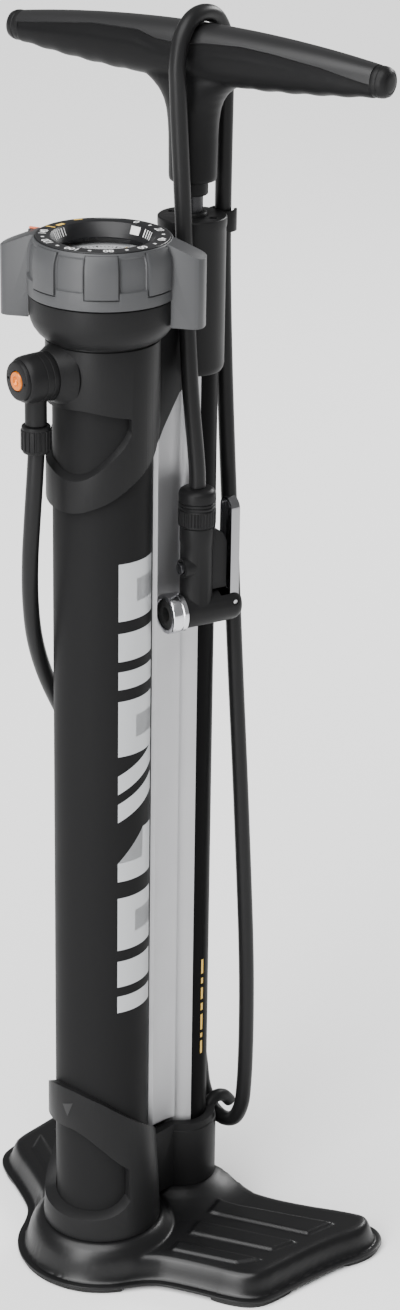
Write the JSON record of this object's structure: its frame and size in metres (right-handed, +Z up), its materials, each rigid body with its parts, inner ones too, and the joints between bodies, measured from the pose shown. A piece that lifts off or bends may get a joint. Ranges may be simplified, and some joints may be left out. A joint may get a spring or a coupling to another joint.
{
  "type": "floor bike pump",
  "caption": "Floor bike pump with booster tank, T handle, round gauge with selector ring, three-lobed steel base, and hose stowed over the handle.",
  "frame": {"origin": "middle of the footprint, on the floor, hose and pump head left out", "axes": "+Z up, +Y from the tank back to the barrel, +X to the right wing of the base"},
  "size_m": [0.26, 0.191, 0.7757],
  "materials": {
    "steel_base": "satin powder coat",
    "black_rubber": "matt",
    "hose_rubber": "satin",
    "black_plastic": "fine moulded grain",
    "tank_paint": "satin",
    "barrel_metal": "bead blasted, right side printed black",
    "grey_plastic": "fine moulded grain",
    "dial_plastic": "satin black with white numbers",
    "dial_face": "satin grey",
    "needle_paint": "yellow",
    "lens": "clear",
    "orange_metal": "anodised",
    "rod_steel": "dark plated",
    "chrome": "polished",
    "bright_steel": "plain",
    "brass": "plain",
    "handle_plastic": "satin moulded"
  },
  "bodies": {
    "root": {"base_plate": "steel_base", "foot_front": "black_rubber", "foot_left_front": "black_rubber", "foot_left_rear": "black_rubber", "foot_right_front": "black_rubber", "foot_right_rear": "black_rubber", "base_bolt_1": "bright_steel", "base_bolt_2": "bright_steel", "base_bolt_3": "bright_steel", "foot_column": "black_plastic", "tank_tube": "tank_paint", "tank_bottom_plug": "black_plastic", "tank_bottom_seal": "black_rubber", "tank_top_plug": "black_plastic", "tank_top_seal": "black_rubber", "barrel_extrusion": "barrel_metal", "check_valve_seat": "brass", "check_valve_carrier": "black_plastic", "upper_housing": "black_plastic", "barrel_cap": "black_plastic", "cap_screw_left": "rod_steel", "cap_screw_right": "rod_steel", "rod_bush": "black_plastic", "gauge_can": "rod_steel", "numeral_ring": "dial_plastic", "gauge_lens": "lens", "gauge_face": "dial_face", "gauge_movement": "brass", "pressure_tube": "brass", "elbow_body": "black_plastic", "elbow_end_cap": "black_plastic", "elbow_screw": "orange_metal", "hose_nut": "black_plastic", "head_body": "black_plastic", "head_ring": "chrome", "head_gasket": "black_rubber", "lever_pin": "bright_steel", "head_nut": "black_plastic", "hose_lower": "hose_rubber", "hose_drop": "hose_rubber"},
    "plunger": {"handle_grip": "handle_plastic", "handle_cap_right": "black_plastic", "handle_cap_left": "black_plastic", "piston_rod": "rod_steel", "rod_nut": "black_plastic", "piston": "black_plastic", "piston_seal": "black_rubber", "piston_nut": "bright_steel", "hose_arch": "hose_rubber"},
    "selector": {"selector_bezel": "grey_plastic", "selector_valve_ring": "grey_plastic"},
    "needle": {"gauge_needle": "needle_paint"},
    "valve": {"check_valve_disc": "black_rubber"},
    "lever": {"head_lever": "chrome"},
    "chuck": {"chuck_plunger": "brass"},
    "button": {"release_button": "rod_steel"}
  },
  "joints": [
    {"name": "pump_stroke", "type": "slide", "parent": "root", "child": "plunger", "axis": [0, 0, 1], "range_m": [0, 0.5]},
    {"name": "selector_turn", "type": "hinge", "parent": "root", "child": "selector", "pos_m": [0, -0.03753, 0.64], "axis": [0, 0, 1], "range_deg": [-60, 0]},
    {"name": "needle_swing", "type": "hinge", "parent": "root", "child": "needle", "pos_m": [0, -0.03753, 0.645], "axis": [0, 0, 1], "range_deg": [-270, 0], "stiffness_Nm_per_rad": 0.0002},
    {"name": "valve_lift", "type": "slide", "parent": "root", "child": "valve", "axis": [0, 0, -1], "range_m": [0, 0.0012], "stiffness_N_per_m": 80},
    {"name": "lever_swing", "type": "hinge", "parent": "root", "child": "lever", "pos_m": [0.0307, 0.0348, 0.432], "axis": [-0.9646, 0.2639, 0], "range_deg": [0, 90]},
    {"name": "chuck_slide", "type": "slide", "parent": "root", "child": "chuck", "axis": [-0.2639, -0.9646, 0], "range_m": [0, 0.003]},
    {"name": "button_press", "type": "slide", "parent": "root", "child": "button", "axis": [0.2639, 0.9646, 0], "range_m": [0, 0.002], "stiffness_N_per_m": 300}
  ],
  "couplings": [
    {"joint": "chuck_slide", "follows": "lever_swing", "m_per_rad": 0.0019}
  ]
}
